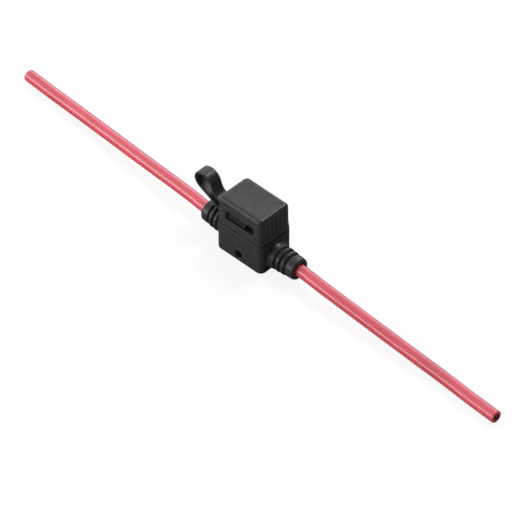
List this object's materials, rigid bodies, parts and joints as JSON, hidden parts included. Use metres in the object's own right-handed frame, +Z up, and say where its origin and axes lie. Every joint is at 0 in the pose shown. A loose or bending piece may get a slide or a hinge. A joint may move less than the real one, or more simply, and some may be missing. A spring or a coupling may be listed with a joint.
{
  "type": "inline fuse holder",
  "caption": "Soft black inline holder for a plug-in blade fuse, with a tethered pull-off cap, ribbed strain-relief boots and thick straight leads cut bare at their ends.",
  "frame": {"origin": "middle of the flat underside of the base, on the surface that the holder stands on", "axes": "+X along the two leads, away from the tether strap; +Z up, the way that the cap and the fuse are pulled out; the latch windows face -Y and +Y"},
  "size_m": [0.2957, 0.0218, 0.0304],
  "materials": {
    "soft_black": "matte moulded elastomer",
    "stiff_black": "fine matte",
    "brass": "stamped, bright",
    "zinc": "stamped, dull",
    "clear_green": "clear tinted plastic",
    "pink_pvc": "glossy wire insulation",
    "copper": "bare stranded copper, dull"
  },
  "bodies": {
    "holder": {"base_housing": "soft_black", "tether_strap": "soft_black", "socket_carrier": "stiff_black", "right_terminal": "brass", "left_terminal": "brass", "right_lead": "pink_pvc", "left_lead": "pink_pvc", "right_conductor": "copper", "left_conductor": "copper"},
    "cap": {"cap": "soft_black"},
    "fuse": {"fuse_body": "clear_green", "fuse_element": "zinc"}
  },
  "joints": [
    {"name": "cap_lift", "type": "slide", "parent": "holder", "child": "cap", "axis": [0, 0, 1], "range_m": [0, 0.03]},
    {"name": "fuse_pull", "type": "slide", "parent": "holder", "child": "fuse", "axis": [0, 0, 1], "range_m": [0, 0.0165]}
  ],
  "couplings": [
    {"joint": "fuse_pull", "follows": "cap_lift", "ratio": 0.55}
  ]
}
